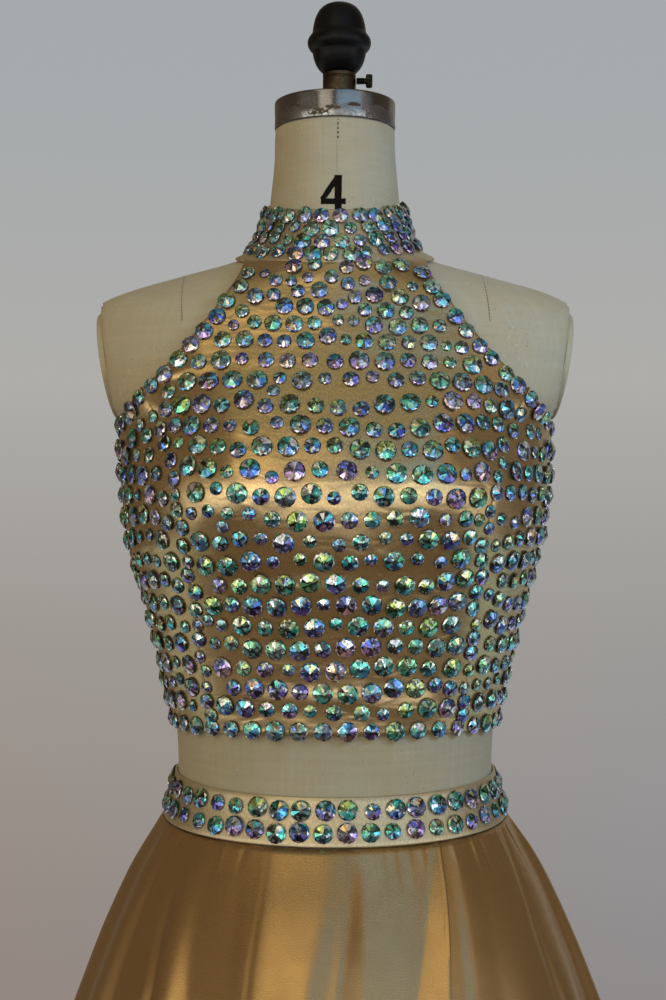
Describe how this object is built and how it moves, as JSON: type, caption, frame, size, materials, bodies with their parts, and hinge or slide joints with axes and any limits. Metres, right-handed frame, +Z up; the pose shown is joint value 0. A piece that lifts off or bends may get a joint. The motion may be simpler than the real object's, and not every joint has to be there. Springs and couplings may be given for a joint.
{
  "type": "two-piece ball gown on dress form",
  "caption": "Crystal-covered satin halter crop top and floor-length pleated satin skirt with a studded waistband, worn on a limbless linen dress form with a round stand.",
  "frame": {"origin": "middle of the stand base's flat underside, on the floor", "axes": "+Z up, the front of the gown faces -Y, +X to the viewer's right"},
  "size_m": [1.019, 0.9886, 1.6002],
  "materials": {
    "gold_satin": "smooth gold satin with a soft sheen, covered in crystals on the top and waistband",
    "zip_tape": "matt woven zip tape",
    "zip_metal": "polished gold-coloured zip metal",
    "form_linen": "unbleached linen cover, matt, lightly soiled",
    "neck_steel": "bright steel band with brown tarnish spots",
    "dark_brass": "dark aged brass",
    "black_knob": "worn black moulded plastic",
    "screw_steel": "blackened steel",
    "underside_wood": "clear-varnished plywood",
    "stand_iron": "black enamelled cast iron",
    "pole_steel": "plated steel tube",
    "cut_crystal": "faceted glass stones with an iridescent blue-green coat",
    "linen_thread": "dark sewing thread of the form's cover",
    "numeral_paint": "black stencil ink of the size numeral on linen"
  },
  "bodies": {
    "stand": {"stand_base": "stand_iron", "stand_pole": "pole_steel"},
    "form": {"form_torso": "form_linen", "arm_plate_left": "form_linen", "arm_plate_right": "form_linen", "top_front": "gold_satin", "top_side_left": "gold_satin", "top_side_right": "gold_satin", "top_back_left": "gold_satin", "top_back_right": "gold_satin", "collar": "gold_satin", "collar_button_upper": "gold_satin", "collar_button_lower": "gold_satin", "waistband": "gold_satin", "skirt_front": "gold_satin", "skirt_back_left": "gold_satin", "skirt_back_right": "gold_satin", "top_zip": "zip_tape", "skirt_zip": "zip_tape", "top_zip_slider": "zip_metal", "skirt_zip_slider": "zip_metal", "neck_ring": "neck_steel", "knob_socket": "dark_brass", "bulb_knob": "black_knob", "underside_board": "underside_wood", "pole_socket": "stand_iron"},
    "thumb_screw": {"thumb_screw": "screw_steel"},
    "top_zip_pull": {"top_zip_pull": "zip_metal"},
    "skirt_zip_pull": {"skirt_zip_pull": "zip_metal"}
  },
  "joints": [
    {"name": "form_swivel", "type": "hinge", "parent": "stand", "child": "form", "pos_m": [0, 0, 0.8], "axis": [0, 0, 1], "continuous": true},
    {"name": "thumb_screw_turn", "type": "hinge", "parent": "form", "child": "thumb_screw", "pos_m": [0.003, 0, 1.5446], "axis": [1, 0, 0], "continuous": true},
    {"name": "top_zip_pull_swing", "type": "hinge", "parent": "form", "child": "top_zip_pull", "pos_m": [0, 0.10565, 1.26904], "axis": [1, 0, 0], "range_deg": [0, 150]},
    {"name": "skirt_zip_pull_swing", "type": "hinge", "parent": "form", "child": "skirt_zip_pull", "pos_m": [0, 0.08947, 1.06661], "axis": [1, 0, 0], "range_deg": [0, 150]}
  ]
}
